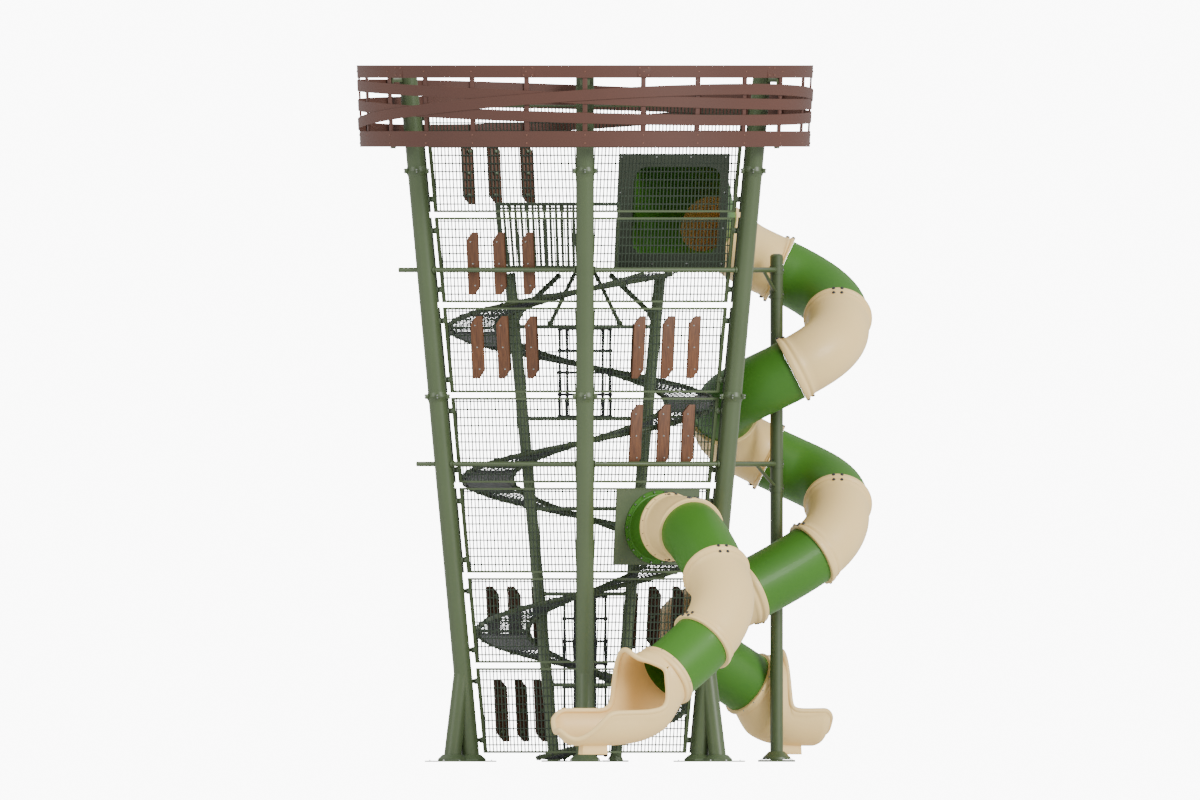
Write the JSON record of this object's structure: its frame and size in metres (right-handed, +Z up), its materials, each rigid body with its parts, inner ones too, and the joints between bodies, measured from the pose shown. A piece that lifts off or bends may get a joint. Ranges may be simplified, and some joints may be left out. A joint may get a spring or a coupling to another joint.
{
  "type": "playground tower",
  "caption": "Tall hexagonal climbing tower with mesh walls, a spiral net ramp inside, a band crown and two enclosed tube slides.",
  "frame": {"origin": "on the ground, at the middle of the front post's base plate", "axes": "+Z up; +Y from the front post towards the tower's centre; +X towards the side the long slide runs on"},
  "size_m": [6.352, 8.6993, 8.584],
  "materials": {
    "painted_steel": "satin olive green paint",
    "dark_steel": "satin dark green paint",
    "green_tube": "moulded plastic with a soft sheen",
    "sand_tube": "moulded plastic with a soft sheen",
    "rust_steel": "matt rust brown paint",
    "rope": "black rope",
    "netting": "dark grey netting",
    "board_wood": "red brown stained wood",
    "bolt_steel": "galvanised bolts"
  },
  "bodies": {
    "root": {"climbing_net_lower": "rope", "climbing_net_upper": "rope", "core_ring_1": "dark_steel", "core_ring_2": "dark_steel", "core_ring_3": "dark_steel", "core_ring_4": "dark_steel", "core_ring_5": "dark_steel", "crown_band_lower": "rust_steel", "crown_band_outer": "rust_steel", "crown_band_upper": "rust_steel", "crown_frame": "rust_steel", "deck": "dark_steel", "deck_guard": "dark_steel", "inner_post_back": "dark_steel", "inner_post_back_left": "dark_steel", "inner_post_back_right": "dark_steel", "inner_post_front": "dark_steel", "inner_post_front_left": "dark_steel", "inner_post_front_right": "dark_steel", "long_slide_bend_1": "sand_tube", "long_slide_bend_2": "sand_tube", "long_slide_bend_3": "sand_tube", "long_slide_bend_4": "sand_tube", "long_slide_bend_5": "sand_tube", "long_slide_exit": "sand_tube", "long_slide_hood": "green_tube", "long_slide_tube_1": "green_tube", "long_slide_tube_2": "green_tube", "long_slide_tube_3": "green_tube", "long_slide_tube_4": "green_tube", "long_slide_tube_5": "green_tube", "lower_entry_plate": "dark_steel", "mesh_face_back_left": "painted_steel", "mesh_face_back_right": "painted_steel", "mesh_face_front_left": "painted_steel", "mesh_face_front_right": "painted_steel", "mesh_face_left": "painted_steel", "mesh_face_right": "painted_steel", "net_ramp_1": "netting", "net_ramp_2": "netting", "net_ramp_3": "netting", "outer_post_back": "painted_steel", "outer_post_back_left": "painted_steel", "outer_post_back_right": "painted_steel", "outer_post_front": "painted_steel", "outer_post_front_left": "painted_steel", "outer_post_front_right": "painted_steel", "short_slide_bend_1": "sand_tube", "short_slide_bend_2": "sand_tube", "short_slide_collar": "green_tube", "short_slide_exit": "sand_tube", "short_slide_tube_1": "green_tube", "short_slide_tube_2": "green_tube", "slide_mast": "painted_steel", "upper_entry_plate": "dark_steel"}
  },
  "joints": []
}
